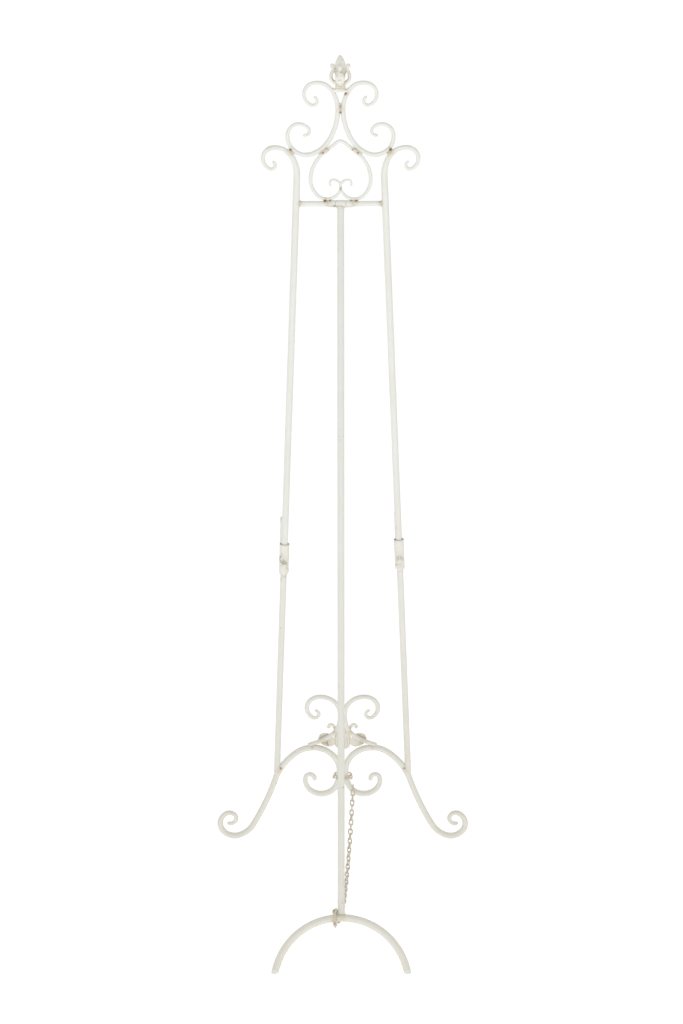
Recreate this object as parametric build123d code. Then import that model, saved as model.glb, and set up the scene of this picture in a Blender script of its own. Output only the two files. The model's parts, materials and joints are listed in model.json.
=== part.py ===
from build123d import *
import math
import os

# Display easel: a leaning wrought-iron frame with two adjustable hooks, a hinged rear leg and a
# safety chain. Millimetres. +Z is up, the picture stands on the -Y side and the rear leg on the +Y side.
# The origin is on the floor, in the middle of the easel's footprint.

# Overall stance
HINGE_HEIGHT = 1340.0
HINGE_Y = -40.0
FRONT_FOOT_Y = -300.0
REAR_FOOT_Y = 300.0
LEAN = math.atan2(HINGE_Y - FRONT_FOOT_Y, HINGE_HEIGHT)
LEG_SPLAY = math.atan2(REAR_FOOT_Y - HINGE_Y, HINGE_HEIGHT)
HINGE_UP_FRAME = math.hypot(HINGE_Y - FRONT_FOOT_Y, HINGE_HEIGHT)
HINGE_UP_LEG = math.hypot(REAR_FOOT_Y - HINGE_Y, HINGE_HEIGHT)

# Bars
ROD_R = 6.35
SCROLL_R = 4.5
FOOT_SCROLL_R = 6.0
HEART_R = 3.5
CROSSBAR_R = 5.0
WELD_GAP = 0.1
RUNNING_FIT = 0.08

# Side rods, in the frame's own plane: across, up
ROD_FOOT = (136.5, 160.0)
ROD_HEAD = (79.2, 1400.0)
ROD_HEADING = math.degrees(math.atan2(ROD_HEAD[1] - ROD_FOOT[1], ROD_HEAD[0] - ROD_FOOT[0]))

# Hinge
BARREL_R = 7.0
BARREL_LENGTH = 18.0
COLLAR_R = 6.6
COLLAR_LENGTH = 13.0
COLLAR_SIDE_PLAY = 0.5
COLLAR_FIT = 0.02

# Rear foot
ARCH_R = 121.0
ARCH_HALF_SPREAD = 118.6
FOOT_CAP_R = 6.7
FOOT_CAP_LENGTH = 8.0

# Hooks, in each clamp's own frame: X across, -Y to the picture, Z up along the rod
HOOK_HEIGHTS = {"left": 665.0, "right": 655.0}
HOOK_SWIVELS = {"left": 0.0, "right": 3.5}
WING_ANGLES = {"left": 0.0, "right": 50.0}
SLEEVE_R = 9.6
SLEEVE_BORE_R = 7.6
SLEEVE_LENGTH = 64.0
ARM_WIDTH = 14.0
ARM_THICKNESS = 4.0
ARM_DROP = -14.0
ARM_REACH = 50.0
ARM_RISE = 52.0
SCREW_R = 3.0
SCREW_DROP = -8.0
BOSS_R = 6.0
BOSS_LENGTH = 5.0
WING_SPAN = 27.0
WING_THICKNESS = 2.6
WING_WIDTH = 9.0

# Finial and plaque
FINIAL_BASE = 1570.0
FINIAL_SEAT_THICKNESS = 4.6
FINIAL_HEIGHT = 60.0
PLAQUE_THICKNESS = 5.0
PLAQUE_CENTRE = 238.0

# Chain
LINK_WIRE = 2.4
LINK_WIDTH = 10.0
LINK_PITCH = 11.6
CHAIN_LINKS = 49
WRAP_HEIGHT = 153.5
WRAP_HALF_WIDTH = 7.2
FRAME_WRAP_LINKS = 8
LEG_WRAP_LINKS = 7
LEG_WRAP_X = 11.0

SIDES = {"left": -1, "right": 1}

frame_plane = Plane(
    origin=(0, FRONT_FOOT_Y, 0),
    x_dir=(1, 0, 0),
    z_dir=(0, -math.cos(LEAN), math.sin(LEAN)),
)
leg_plane = Plane(
    origin=(0, REAR_FOOT_Y, 0),
    x_dir=(1, 0, 0),
    z_dir=(0, -math.cos(LEG_SPLAY), -math.sin(LEG_SPLAY)),
)


def bent_path(start, heading, *runs):
    """A wire of tangent runs in XY: (radius, turn in degrees) for a bend, (None, length) for a straight."""
    here = Vector(*start)
    direction = Vector(1, 0, 0).rotate(Axis.Z, heading)
    edges = []
    for radius, amount in runs:
        if radius is None:
            edge = Line(here, here + direction * amount)
        else:
            edge = JernArc(start=here, tangent=direction, radius=radius, arc_size=amount)
        edges.append(edge)
        here = edge @ 1
        direction = edge % 1
    return Wire(edges)


def round_bar(path, radius, ball_ends=(True, True)):
    """A round bar along a path, with a ball worked on to each chosen end."""
    section = Plane(origin=path @ 0, z_dir=path % 0) * Circle(radius)
    bar = sweep(section, path=path)
    for end, wanted in enumerate(ball_ends):
        if wanted:
            bar += Pos(*(path @ end)) * Sphere(radius)
    return bar


def straight_bar(start, end, radius):
    """A round bar between two points."""
    start = Vector(*start)
    run = Vector(*end) - start
    return Plane(origin=start, z_dir=run) * Cylinder(
        radius, run.length, align=(Align.CENTER, Align.CENTER, Align.MIN)
    )


def x_cylinder(radius, length, x=0.0):
    """A cylinder along X, centred on x."""
    return Pos(x, 0, 0) * Rot(0, 90, 0) * Cylinder(radius, length)


def in_frame(part):
    """From the frame's own plane (across, up, forward) to the easel's position."""
    return frame_plane.location * part


def in_leg(part):
    """From the rear leg's own plane (across, up, forward) to the easel's position."""
    return leg_plane.location * part


def on_side(path, side):
    """A right-hand path as it is, or its mirror image for the left (side -1)."""
    return path if side > 0 else mirror(path, about=Plane.YZ)


# Scroll centre lines for the right-hand side (across > 0)

def crest_path():
    return bent_path((43.4, 1554.5), -134, (7.5, 155), (20, 141), (31, 73), (60, 36),
                     (102, 33), (57, 37), (33, 115), (21, 136), (7.5, 123))


def heart_path():
    """Both halves of the heart in one run, from the left curl over the peak to the right curl."""
    half_runs = [(10, -38), (None, 29), (66, -44), (42, -48), (25.5, -124), (13, -108), (6.5, -108)]
    half = bent_path((0, 1478.3), 0, *half_runs)
    tip, direction = half @ 1, half % 1
    left_heading = math.degrees(math.atan2(-direction.Y, direction.X))
    return bent_path((-tip.X, tip.Y), left_heading, *reversed(half_runs), *half_runs)


def shoulder_path():
    return bent_path(ROD_HEAD, ROD_HEADING, (None, 14), (72, -25), (36, -75), (20, -150), (7, -150))


def lower_scroll_path():
    return bent_path((53, 309.6), -156, (8.5, 190), (26, 136), (39.5, 97), (110, 13), (48, 48), (160, 15))


def foot_scroll_path():
    """The long foot scroll, let down until its round bar just stands on the floor."""
    path = bent_path((58.5, 145.5), 102, (9.5, -181), (33.5, -164), (77, -38), (54.5, -116),
                     (132, -35), (650, 10.9), (57, 38), (30, 168), (13.5, 200))
    samples = 1000
    lowest = min((path @ (number / samples)).Y for number in range(samples + 1))
    return path.moved(Pos(0, FOOT_SCROLL_R / math.cos(LEAN) - lowest, 0))


def build_frame():
    parts = {}
    for name, side in SIDES.items():
        foot = on_side(foot_scroll_path(), side)
        foot_cutter = round_bar(foot, FOOT_SCROLL_R + WELD_GAP)
        rod = straight_bar((side * ROD_FOOT[0], ROD_FOOT[1], 0), (side * ROD_HEAD[0], ROD_HEAD[1], 0), ROD_R)
        lower = round_bar(on_side(lower_scroll_path(), side), SCROLL_R, (True, False))
        shoulder = round_bar(on_side(shoulder_path(), side), SCROLL_R, (False, True))
        parts[f"{name}_side_rod"] = in_frame(largest(rod - foot_cutter))
        parts[f"{name}_shoulder_scroll"] = in_frame(shoulder)
        parts[f"{name}_crest_scroll"] = in_frame(round_bar(on_side(crest_path(), side), SCROLL_R))
        parts[f"{name}_lower_scroll"] = in_frame(largest(lower - foot_cutter))
        parts[f"{name}_foot_scroll"] = in_frame(round_bar(foot, FOOT_SCROLL_R))
        parts[f"{name}_hinge_collar"] = in_frame(hinge_collar(side))
    parts["heart_scroll"] = in_frame(round_bar(heart_path(), HEART_R))
    parts["crossbar"] = in_frame(crossbar())
    parts["finial_seat"] = in_frame(finial_seat())
    parts["finial"] = in_frame(finial())
    parts["fleur_plaque"] = in_frame(plaque())
    return parts


def crossbar():
    """The bar between the side rods, which is also the pin of the leg's hinge."""
    bar = Pos(0, HINGE_UP_FRAME, 0) * x_cylinder(CROSSBAR_R, 2 * ROD_HEAD[0] + 2 * ROD_R)
    for side in SIDES.values():
        foot_end = (side * ROD_FOOT[0], ROD_FOOT[1], 0)
        head_end = (side * ROD_HEAD[0], ROD_HEAD[1], 0)
        bar -= straight_bar(foot_end, head_end, ROD_R + WELD_GAP)
    return largest(bar)


def hinge_collar(side):
    """A ring on the crossbar beside the leg's barrel, nicked where the heart rests on it."""
    middle = side * (BARREL_LENGTH / 2 + COLLAR_SIDE_PLAY + COLLAR_LENGTH / 2)
    ring = x_cylinder(COLLAR_R, COLLAR_LENGTH, middle)
    ring -= x_cylinder(CROSSBAR_R + COLLAR_FIT, COLLAR_LENGTH, middle)
    return largest(Pos(0, HINGE_UP_FRAME, 0) * ring - round_bar(heart_path(), HEART_R + WELD_GAP))


def largest(part):
    """The biggest solid of a cut part, without the chips that the cut leaves."""
    return max(part.solids(), key=lambda solid: solid.volume)


def finial_seat():
    """A short flat bar let in between the two crest scrolls."""
    seat = Pos(0, FINIAL_BASE - FINIAL_SEAT_THICKNESS / 2, 0) * Box(26, FINIAL_SEAT_THICKNESS, 2 * SCROLL_R)
    crest = round_bar(crest_path(), SCROLL_R + WELD_GAP)
    return largest(seat - crest - mirror(crest, about=Plane.YZ))


def finial():
    """A cast finial: ringed neck, stem and pointed bud, with four curled petals."""
    neck_r, ring_r, stem_r, bud_r = 8.2, 9.2, 5.5, 8.2
    ring_pitch, rings = 3.6, 3
    neck_top = ring_pitch * rings
    bud_base, bud_middle = 32.0, 44.0
    with BuildPart() as build:
        with Locations((0, 0, neck_top / 2)):
            Cylinder(neck_r, neck_top)
        for ring in range(rings):
            with Locations((0, 0, ring_pitch * (ring + 0.5))):
                Cylinder(ring_r, ring_pitch / 2)
        with Locations((0, 0, (neck_top + bud_base) / 2)):
            Cylinder(stem_r, bud_base - neck_top)
        with BuildSketch(Plane.XZ):
            with BuildLine():
                outline = Polyline((0, FINIAL_HEIGHT), (0, bud_base), (stem_r, bud_base))
                lower_curve = JernArc(start=outline @ 1, tangent=(0.75, 1), radius=13, arc_size=50)
                tip_tangents = ((-0.05, 1), (-0.35, 1))
                Spline(lower_curve @ 1, (bud_r * 0.72, 51.5), (0, FINIAL_HEIGHT), tangents=tip_tangents)
            make_face()
        revolve(axis=Axis.Z)
    body = build.part
    petal_path = bent_path((stem_r, neck_top + 2.2), 0, (10.5, 90), (36, 24), (7, -60))
    petal = Plane.XZ.location * round_bar(petal_path, 2.7)
    curl = Plane.XZ.location * (Pos(*(petal_path @ 1)) * Sphere(3.8))
    for turn in range(4):
        body += Rot(0, 0, 90 * turn) * (petal + curl)
    return Plane(origin=(0, FINIAL_BASE, 0), x_dir=(1, 0, 0), z_dir=(0, 1, 0)).location * body


def plaque():
    """A cast fleur-de-lis in low relief: shell, middle leaf, two side leaves and two small curls."""
    with BuildPart() as build:
        with BuildSketch():
            Ellipse(14, 33)
            with Locations((0, -14)):
                Ellipse(25, 13)
        extrude(amount=PLAQUE_THICKNESS)
        for side in (-1, 1):
            with BuildSketch():
                with Locations((side * 34, -1)):
                    Ellipse(17, 12)
                with Locations((side * 17, 18)):
                    Ellipse(8, 13, rotation=side * -35)
            extrude(amount=PLAQUE_THICKNESS * 0.8)
    return Pos(0, PLAQUE_CENTRE, SCROLL_R + WELD_GAP) * build.part


def build_leg():
    """The rear leg in its own plane: tube, hinge barrel, arched foot and its two end caps."""
    barrel = Pos(0, HINGE_UP_LEG, 0) * (
        x_cylinder(BARREL_R, BARREL_LENGTH) - x_cylinder(CROSSBAR_R + RUNNING_FIT, BARREL_LENGTH)
    )
    arch_centre = -math.sqrt(ARCH_R**2 - ARCH_HALF_SPREAD**2)
    cap_angle = math.degrees(math.asin((-arch_centre + FOOT_CAP_LENGTH * 0.6) / ARCH_R))
    arch_path = Pos(0, arch_centre, 0) * Wire([CenterArc((0, 0), ARCH_R, cap_angle, 180 - 2 * cap_angle)])
    arch = round_bar(arch_path, ROD_R, (False, False))
    arch_cutter = round_bar(arch_path, ROD_R + WELD_GAP, (False, False))
    tube = straight_bar((0, arch_centre + ARCH_R, 0), (0, HINGE_UP_LEG, 0), ROD_R)
    tube = largest(tube - arch_cutter - Pos(0, HINGE_UP_LEG, 0) * x_cylinder(BARREL_R + WELD_GAP, 60))
    parts = {"leg_tube": in_leg(tube), "hinge_barrel": in_leg(barrel), "rear_foot_arch": in_leg(arch)}

    above_floor = Pos(0, REAR_FOOT_Y, 0) * Box(600, 600, 200, align=(Align.CENTER, Align.CENTER, Align.MIN))
    for name, end in (("right", 0), ("left", 1)):
        outward = (arch_path % end) * (-1 if end == 0 else 1)
        start = (arch_path @ end) + outward * WELD_GAP
        cap = straight_bar(start, start + outward * FOOT_CAP_LENGTH * 1.5, FOOT_CAP_R)
        parts[f"{name}_foot_cap"] = in_leg(cap) & above_floor
    return parts


def build_hook(name):
    """One clamp: sleeve, screw boss and hook arm, and the wing screw that locks it."""
    side = SIDES[name]
    up_rod = Vector(side * (ROD_HEAD[0] - ROD_FOOT[0]), ROD_HEAD[1] - ROD_FOOT[1], 0).normalized()
    share = (HOOK_HEIGHTS[name] - ROD_FOOT[1]) / (ROD_HEAD[1] - ROD_FOOT[1])
    across = ROD_FOOT[0] + share * (ROD_HEAD[0] - ROD_FOOT[0])
    clamp_plane = Plane(
        origin=(side * across, HOOK_HEIGHTS[name], 0), x_dir=(up_rod.Y, -up_rod.X, 0), z_dir=up_rod
    )

    def in_clamp(part):
        return in_frame(clamp_plane.location * (Rot(0, 0, side * HOOK_SWIVELS[name]) * part))

    screw_line = Plane(origin=(0, 0, SCREW_DROP), x_dir=(1, 0, 0), z_dir=(0, 1, 0))
    outside = Cylinder(SLEEVE_R, SLEEVE_LENGTH)
    sleeve = chamfer(outside.edges().filter_by(GeomType.CIRCLE), 1.0) - Cylinder(SLEEVE_BORE_R, SLEEVE_LENGTH)
    screw_hole = screw_line.location * Cylinder(
        SCREW_R + RUNNING_FIT, 30, align=(Align.CENTER, Align.CENTER, Align.MIN)
    )
    boss = screw_line.location * Cylinder(
        BOSS_R, SLEEVE_R + BOSS_LENGTH, align=(Align.CENTER, Align.CENTER, Align.MIN)
    )
    boss = largest(boss - Cylinder(SLEEVE_R + 0.02, SLEEVE_LENGTH) - screw_hole)

    arm_path = bent_path((SLEEVE_R + WELD_GAP, ARM_DROP), 0, (None, ARM_REACH), (10, 90),
                         (None, ARM_RISE), (6, -250))
    arm_plane = Plane(origin=(0, 0, 0), x_dir=(0, -1, 0), z_dir=(-1, 0, 0))
    arm_section = Plane(origin=arm_path @ 0, x_dir=(0, 0, 1), z_dir=arm_path % 0) * Rectangle(
        ARM_WIDTH, ARM_THICKNESS
    )
    arm = arm_plane.location * sweep(arm_section, path=arm_path)
    saddle = Pos(0, -SLEEVE_R - 2, ARM_DROP) * Box(ARM_WIDTH, 8, ARM_THICKNESS)
    arm = arm + (saddle - Cylinder(SLEEVE_R + WELD_GAP, SLEEVE_LENGTH))

    return {
        f"{name}_hook_sleeve": in_clamp(sleeve - screw_hole),
        f"{name}_screw_boss": in_clamp(boss),
        f"{name}_hook_arm": in_clamp(arm),
        f"{name}_wing_screw": in_clamp(screw_line.location * wing_screw(WING_ANGLES[name])),
    }


def wing_screw(angle):
    """A wing screw on +Z: shank from the rod out through the boss, hub and two wings."""
    tip = ROD_R + WELD_GAP
    hub_start = SLEEVE_R + BOSS_LENGTH + 1.0
    hub_length = 5.0
    shank = Pos(0, 0, (tip + hub_start + 1) / 2) * Cylinder(SCREW_R, hub_start + 1 - tip)
    hub = Pos(0, 0, hub_start + hub_length / 2) * Cylinder(4.5, hub_length)
    screw = shank + hub
    for side in (-1, 1):
        lobe = Rot(90, 0, 0) * Cylinder(WING_WIDTH / 2, WING_THICKNESS)
        centre = WING_SPAN / 2 - WING_WIDTH / 2
        web = Pos(side * centre / 2, 0, 0) * Box(centre, WING_THICKNESS, WING_WIDTH * 0.6)
        wing = Pos(side * centre, 0, 2.0) * lobe + web
        screw += Pos(0, 0, hub_start + hub_length) * wing
    return Rot(0, 0, 90 + angle) * screw


def chain_link():
    """One oval link of round wire, lying along X."""
    bend_r = (LINK_WIDTH - LINK_WIRE) / 2
    straight = LINK_PITCH + LINK_WIRE + 0.3 - 2 * bend_r
    path = bent_path((-straight / 2, -bend_r), 0, (None, straight), (bend_r, 180),
                     (None, straight), (bend_r, 180))
    return round_bar(path, LINK_WIRE / 2, (False, False))


def place_links(stations):
    """A chain of links at (point, direction) stations, each turned a quarter from the one before."""
    link = chain_link()
    links = []
    for number, (point, direction) in enumerate(stations):
        along = Vector(*direction).normalized()
        side = along.cross(Vector(1, 0, 0) if abs(along.X) < 0.9 else Vector(0, 1, 0)).normalized()
        face = side.rotate(Axis(point, along), 45 if number % 2 else -45)
        links.append(Plane(origin=point, x_dir=along, z_dir=face).location * link)
    return Compound(children=links)


def catenary(start, end, length, count):
    """Middle points and directions of count equal links on a free-hanging chain."""
    run = Vector(end.X - start.X, end.Y - start.Y, 0)
    span, drop = run.length, end.Z - start.Z
    wanted = math.sqrt(length**2 - drop**2)
    low, high = span / 50, span * 50
    for _ in range(80):
        scale = math.sqrt(low * high)
        if 2 * scale * math.sinh(span / (2 * scale)) > wanted:
            low = scale
        else:
            high = scale
    middle = span / 2 - scale * math.atanh(drop / length)
    start_arc = scale * math.sinh(-middle / scale)

    def point_at(arc):
        distance = middle + scale * math.asinh((start_arc + arc) / scale)
        height = scale * (math.cosh((distance - middle) / scale) - math.cosh(middle / scale))
        return start + run * (distance / span) + Vector(0, 0, height)

    step = length / count
    stations = []
    for number in range(count):
        first, last = point_at(step * number), point_at(step * (number + 1))
        stations.append(((first + last) / 2, last - first))
    return stations


def loop_stations(plane, half_width, count):
    """Link stations round a closed oval of count links, half_width between its two bend centres."""
    bend_r = (count * LINK_PITCH - 4 * half_width) / (2 * math.pi)
    path = bent_path((-half_width, -bend_r), 0, (None, 2 * half_width), (bend_r, 180),
                     (None, 2 * half_width), (bend_r, 180)) if half_width else Wire.make_circle(bend_r)
    path = plane.location * path
    stations = []
    for number in range(count):
        share = (number + 0.5) / count
        stations.append((path @ share, path % share))
    return stations


def build_chain():
    """The free chain, its wrap round the two foot scrolls and its wrap round the rear arch."""
    wrap_plane = Plane(origin=(0, WRAP_HEIGHT, 0), x_dir=(1, 0, 0), z_dir=(0, 1, 0))
    frame_wrap = loop_stations(wrap_plane, WRAP_HALF_WIDTH, FRAME_WRAP_LINKS)
    arch_top = math.sqrt(ARCH_R**2 - LEG_WRAP_X**2) - math.sqrt(ARCH_R**2 - ARCH_HALF_SPREAD**2)
    leg_wrap_plane = Plane(origin=(LEG_WRAP_X, arch_top, 0), x_dir=(0, 1, 0), z_dir=(1, 0, 0))
    leg_wrap = loop_stations(leg_wrap_plane, 0, LEG_WRAP_LINKS)
    start = frame_plane.from_local_coords(Vector(-22, WRAP_HEIGHT - 13.5, -14))
    end = leg_plane.from_local_coords(Vector(LEG_WRAP_X, arch_top - 4, 19))
    length = CHAIN_LINKS * LINK_PITCH
    return {
        "chain_frame_wrap": in_frame(place_links(frame_wrap)),
        "safety_chain": place_links(catenary(start, end, length, CHAIN_LINKS)),
        "chain_leg_wrap": in_leg(place_links(leg_wrap)),
    }


os.makedirs("parts", exist_ok=True)
nodes = {**build_frame(), **build_leg(), **build_hook("left"), **build_hook("right"), **build_chain()}
for node_name, shape in nodes.items():
    export_step(shape, f"parts/{node_name}.step")
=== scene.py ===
import json
import math

import bmesh
import bpy
import numpy as np
from mathutils import Matrix, Vector, noise


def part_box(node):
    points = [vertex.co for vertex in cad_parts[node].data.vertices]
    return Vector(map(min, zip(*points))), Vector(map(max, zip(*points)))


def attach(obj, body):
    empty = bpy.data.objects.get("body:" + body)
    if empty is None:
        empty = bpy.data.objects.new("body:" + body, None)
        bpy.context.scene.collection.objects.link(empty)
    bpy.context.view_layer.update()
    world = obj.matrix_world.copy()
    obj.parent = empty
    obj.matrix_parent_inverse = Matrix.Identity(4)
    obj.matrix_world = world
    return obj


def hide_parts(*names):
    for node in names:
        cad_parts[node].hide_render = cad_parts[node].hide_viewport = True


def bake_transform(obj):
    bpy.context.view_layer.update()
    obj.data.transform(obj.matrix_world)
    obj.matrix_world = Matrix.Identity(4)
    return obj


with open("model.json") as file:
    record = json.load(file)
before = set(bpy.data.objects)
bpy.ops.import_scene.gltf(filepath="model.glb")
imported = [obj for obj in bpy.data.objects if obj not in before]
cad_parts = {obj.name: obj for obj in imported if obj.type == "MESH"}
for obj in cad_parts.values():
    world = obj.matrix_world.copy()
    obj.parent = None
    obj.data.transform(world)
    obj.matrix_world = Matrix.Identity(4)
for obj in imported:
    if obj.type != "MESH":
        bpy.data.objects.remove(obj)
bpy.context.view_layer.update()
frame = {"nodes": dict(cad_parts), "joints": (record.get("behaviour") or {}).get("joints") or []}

# ---------------------------------------------------------------- places, worked out from the frame

MM = 0.001


def box_centre(node):
    low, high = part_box(node)
    return (low + high) / 2


HINGE = box_centre("hinge_barrel")
FRONT_FOOT_Y = -0.300
REAR_FOOT_Y = 0.300
LEAN = math.atan2(HINGE.y - FRONT_FOOT_Y, HINGE.z)
LEG_SPLAY = math.atan2(REAR_FOOT_Y - HINGE.y, HINGE.z)
HINGE_UP_FRAME = math.hypot(HINGE.y - FRONT_FOOT_Y, HINGE.z) / MM
HINGE_UP_LEG = math.hypot(REAR_FOOT_Y - HINGE.y, HINGE.z) / MM


def axes(origin, across, up):
    """A matrix whose X is across, Y is up and Z is forward of them, at origin."""
    across, up = Vector(across).normalized(), Vector(up).normalized()
    forward = across.cross(up)
    matrix = Matrix((across, up, forward)).transposed().to_4x4()
    matrix.translation = origin
    return matrix


IN_FRAME = axes((0, FRONT_FOOT_Y, 0), (1, 0, 0), (0, math.sin(LEAN), math.cos(LEAN)))
IN_LEG = axes((0, REAR_FOOT_Y, 0), (1, 0, 0), (0, -math.sin(LEG_SPLAY), math.cos(LEG_SPLAY)))
SIDES = {"left": -1, "right": 1}


def in_mm(matrix, point):
    """A point given in millimetres on one of those planes, in the row frame."""
    x, y, *z = point
    return matrix @ Vector((x * MM, y * MM, z[0] * MM if z else 0.0))


def clamp_matrix(name):
    """A hook clamp's own frame: X across, Y to the rear along the screw, Z up along the rod."""
    joints = {joint["name"]: joint for joint in frame["joints"]}
    up = Vector(joints[f"{name}_hook_slide"]["axis"])
    rear = Vector(joints[f"{name}_wing_screw_turn"]["axis"])
    matrix = Matrix((rear.cross(up), rear, up)).transposed().to_4x4()
    matrix.translation = box_centre(f"{name}_hook_sleeve")
    return matrix


# ---------------------------------------------------------------- sizes of the pieces, in millimetres

ROD_R = 6.35
SCROLL_R = 4.5
FOOT_SCROLL_R = 6.0
HEART_R = 3.5
CROSSBAR_R = 5.0
BARREL_R, BARREL_LENGTH = 7.0, 18.0
COLLAR_R, COLLAR_LENGTH = 6.6, 13.0
ARCH_R, ARCH_HALF_SPREAD = 121.0, 118.6
ROD_FOOT, ROD_HEAD = (136.5, 160.0), (79.2, 1400.0)
ROD_HEADING = math.degrees(math.atan2(ROD_HEAD[1] - ROD_FOOT[1], ROD_HEAD[0] - ROD_FOOT[0]))
FINIAL_BASE = 1570.0
PLAQUE_CENTRE = 238.0
SLEEVE_R = 9.6
ARM_BELOW, SCREW_BELOW = 14.0, 8.0  # below the middle of a hook's sleeve
LINK_WIRE, LINK_WIDTH, LINK_PITCH = 2.7, 10.0, 11.6
CHAIN_LINKS = 49
WRAP_HEIGHT, WRAP_HALF_WIDTH = 153.5, 7.2
FRAME_WRAP_LINKS, LEG_WRAP_LINKS, LEG_WRAP_X = 8, 7, 11.0


# ---------------------------------------------------------------- building node trees

def add_node(tree, kind, inputs=None, **settings):
    """A node with its settings made, and each input linked to a socket or set to a value."""
    node = tree.nodes.new(kind)
    for name, value in settings.items():
        setattr(node, name, value)
    for key, value in (inputs or {}).items():
        if isinstance(value, bpy.types.NodeSocket):
            tree.links.new(value, node.inputs[key])
        else:
            node.inputs[key].default_value = value
    return node


def math_node(tree, operation, *values, kind="ShaderNodeMath"):
    return add_node(tree, kind, dict(enumerate(values)), operation=operation).outputs[0]


def map_range(tree, value, low, high, to_low=0.0, to_high=1.0, smooth=False):
    names = ("Value", "From Min", "From Max", "To Min", "To Max")
    return add_node(tree, "ShaderNodeMapRange", dict(zip(names, (value, low, high, to_low, to_high))),
                    interpolation_type="SMOOTHSTEP" if smooth else "LINEAR").outputs[0]


def new_tree(name, kind, inputs, outputs):
    """A node group with named sockets, given as (name, socket type, default) and (name, socket type)."""
    tree = bpy.data.node_groups.new(name, kind)
    for socket_name, socket_type, default in inputs:
        socket = tree.interface.new_socket(socket_name, in_out="INPUT", socket_type=socket_type)
        if default is not None:
            socket.default_value = default
    for socket_name, socket_type in outputs:
        tree.interface.new_socket(socket_name, in_out="OUTPUT", socket_type=socket_type)
    return tree, tree.nodes.new("NodeGroupInput").outputs, tree.nodes.new("NodeGroupOutput").inputs


def run_tree(name, tree, points, edges, values):
    """The mesh that a Geometry Nodes tree makes of a line of points, as a plain object at the origin."""
    mesh = bpy.data.meshes.new(name)
    mesh.from_pydata([tuple(point) for point in points], edges, [])
    source = bpy.data.objects.new(name + "_line", mesh)
    bpy.context.scene.collection.objects.link(source)
    modifier = source.modifiers.new("build", "NODES")
    modifier.node_group = tree
    identifiers = {item.name: item.identifier for item in tree.interface.items_tree
                   if item.item_type == "SOCKET" and item.in_out == "INPUT"}
    for socket_name, value in values.items():
        modifier[identifiers[socket_name]] = value
    bpy.context.view_layer.update()
    evaluated = source.evaluated_get(bpy.context.evaluated_depsgraph_get())
    result = bpy.data.meshes.new_from_object(evaluated)
    source.modifiers.remove(modifier)
    bpy.data.objects.remove(source)
    result.name = name
    made = bpy.data.objects.new(name, result)
    bpy.context.scene.collection.objects.link(made)
    return made


def forged_bar_tree():
    """A round bar along a line: drawn down towards its tips, ends rounded off, surface lightly hammered."""
    tree, given, result = new_tree(
        "forged_bar", "GeometryNodeTree",
        [("Geometry", "NodeSocketGeometry", None), ("Radius", "NodeSocketFloat", 0.0045),
         ("Start Radius", "NodeSocketFloat", 0.0045), ("End Radius", "NodeSocketFloat", 0.0045),
         ("Taper", "NodeSocketFloat", 0.4), ("Round Start", "NodeSocketFloat", 1.0),
         ("Round End", "NodeSocketFloat", 1.0), ("Hammer Depth", "NodeSocketFloat", 0.0002),
         ("Hammer Scale", "NodeSocketFloat", 90.0), ("Sides", "NodeSocketInt", 20),
         ("Material", "NodeSocketMaterial", None)],
        [("Geometry", "NodeSocketGeometry")])
    curve = add_node(tree, "GeometryNodeMeshToCurve", {"Mesh": given["Geometry"]}).outputs[0]
    parameter = add_node(tree, "GeometryNodeSplineParameter").outputs
    total = add_node(tree, "GeometryNodeSplineLength").outputs["Length"]
    from_start = parameter["Length"]
    from_end = math_node(tree, "SUBTRACT", total, from_start)
    factor = parameter["Factor"]
    body = map_range(tree, factor, 0.0, given["Taper"], given["Start Radius"], given["Radius"], smooth=True)
    other = map_range(tree, math_node(tree, "SUBTRACT", 1.0, factor), 0.0, given["Taper"],
                      given["End Radius"], given["Radius"], smooth=True)
    radius = math_node(tree, "SUBTRACT", math_node(tree, "ADD", body, other), given["Radius"])
    for distance, tip, wanted in ((from_start, given["Start Radius"], given["Round Start"]),
                                  (from_end, given["End Radius"], given["Round End"])):
        depth = math_node(tree, "SUBTRACT", 1.0, map_range(tree, distance, 0.0, tip))
        squared = math_node(tree, "MULTIPLY", depth, depth)
        dome = math_node(tree, "SQRT", math_node(tree, "SUBTRACT", 1.02, squared))
        radius = math_node(tree, "MULTIPLY", radius, add_node(
            tree, "ShaderNodeMix", {"Factor": wanted, "A": 1.0, "B": math_node(tree, "MINIMUM", dome, 1.0)},
            data_type="FLOAT").outputs[0])
    profile = add_node(tree, "GeometryNodeCurvePrimitiveCircle", {
        "Resolution": given["Sides"], "Radius": 1.0}).outputs["Curve"]
    tube = add_node(tree, "GeometryNodeCurveToMesh", {
        "Curve": curve, "Profile Curve": profile, "Scale": radius, "Fill Caps": True}).outputs[0]
    place = add_node(tree, "GeometryNodeInputPosition").outputs[0]
    dents = add_node(tree, "ShaderNodeTexNoise", {
        "Vector": place, "Scale": given["Hammer Scale"], "Detail": 2.0}).outputs[0]
    push = math_node(tree, "MULTIPLY", math_node(tree, "SUBTRACT", dents, 0.5), given["Hammer Depth"])
    outward = add_node(tree, "GeometryNodeInputNormal").outputs["Normal"]
    offset = add_node(tree, "ShaderNodeVectorMath", {0: outward, "Scale": push}, operation="SCALE").outputs[0]
    hammered = add_node(tree, "GeometryNodeSetPosition", {"Geometry": tube, "Offset": offset}).outputs[0]
    smooth = add_node(tree, "GeometryNodeSetShadeSmooth", {"Geometry": hammered}).outputs[0]
    real = add_node(tree, "GeometryNodeRealizeInstances", {"Geometry": smooth}).outputs[0]
    painted = add_node(tree, "GeometryNodeSetMaterial", {
        "Geometry": real, "Material": given["Material"]}).outputs[0]
    tree.links.new(painted, result["Geometry"])
    return tree


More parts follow.
